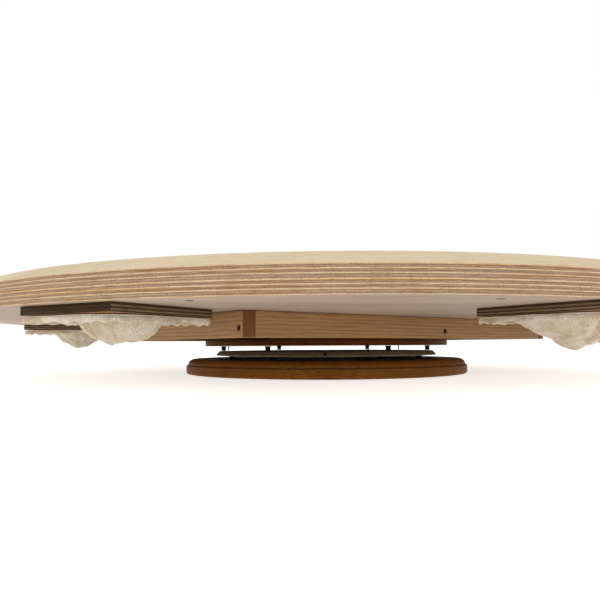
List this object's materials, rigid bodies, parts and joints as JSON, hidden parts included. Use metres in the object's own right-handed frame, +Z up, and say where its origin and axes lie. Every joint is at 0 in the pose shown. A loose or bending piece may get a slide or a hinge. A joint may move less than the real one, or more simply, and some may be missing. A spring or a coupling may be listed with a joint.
{
  "type": "lazy susan turntable",
  "caption": "Large round plywood lazy susan with a pine frame, small plywood plates with gauze bags under its rim, a ring bearing and a stained wooden base.",
  "frame": {"origin": "middle of the base board's underside, on the turning axis", "axes": "+Z up along the turning axis; -Y is the front; +X is to the right"},
  "size_m": [0.7, 0.7, 0.0786],
  "materials": {
    "stained_wood": "dark stained and satin lacquered",
    "board_wood": "dark stained",
    "rubber": "matt",
    "ring_metal": "satin",
    "nylon": "matt",
    "ball_steel": "polished",
    "black_steel": "blackened",
    "pine": "planed, bare",
    "birch_ply": "sanded, bare, with bare plies at the rim",
    "plate_ply": "bare thin plywood",
    "gauze": "loosely woven cotton gauze"
  },
  "bodies": {
    "base": {"base_board": "stained_wood", "foot_pad_1": "rubber", "foot_pad_2": "rubber", "foot_pad_3": "rubber", "foot_pad_4": "rubber", "foot_pad_5": "rubber", "foot_pad_6": "rubber", "bearing_inner_ring": "ring_metal"},
    "cage": {"ball_cage": "nylon", "ball_1": "ball_steel", "ball_2": "ball_steel", "ball_3": "ball_steel", "ball_4": "ball_steel", "ball_5": "ball_steel", "ball_6": "ball_steel", "ball_7": "ball_steel", "ball_8": "ball_steel", "ball_9": "ball_steel", "ball_10": "ball_steel", "ball_11": "ball_steel", "ball_12": "ball_steel"},
    "table": {"bearing_outer_ring": "ring_metal", "fill_plug": "black_steel", "spacer_1": "black_steel", "spacer_2": "black_steel", "spacer_3": "black_steel", "spacer_4": "black_steel", "spacer_5": "black_steel", "spacer_6": "black_steel", "tie_screw_1": "black_steel", "tie_screw_2": "black_steel", "upper_board": "board_wood", "frame_end_left": "pine", "frame_end_right": "pine", "frame_rail_front": "pine", "frame_rail_back": "pine", "frame_crosspiece": "pine", "corner_screw_1": "black_steel", "corner_screw_2": "black_steel", "corner_screw_3": "black_steel", "corner_screw_4": "black_steel", "cross_screw_front": "black_steel", "cross_screw_back": "black_steel", "board_screw_1": "black_steel", "board_screw_2": "black_steel", "top_disc": "birch_ply", "plate_1": "plate_ply", "plate_2": "plate_ply", "plate_3": "plate_ply", "plate_4": "plate_ply", "plate_5": "plate_ply", "plate_6": "plate_ply", "bag_1": "gauze", "bag_2": "gauze", "bag_3": "gauze", "bag_4": "gauze", "bag_5": "gauze", "bag_6": "gauze"}
  },
  "joints": [
    {"name": "table_spin", "type": "hinge", "parent": "base", "child": "table", "pos_m": [0, 0, 0.02085], "axis": [0, 0, 1], "continuous": true},
    {"name": "cage_spin", "type": "hinge", "parent": "base", "child": "cage", "pos_m": [0, 0, 0.02085], "axis": [0, 0, 1], "continuous": true}
  ],
  "couplings": [
    {"joint": "cage_spin", "follows": "table_spin", "ratio": 0.5}
  ]
}
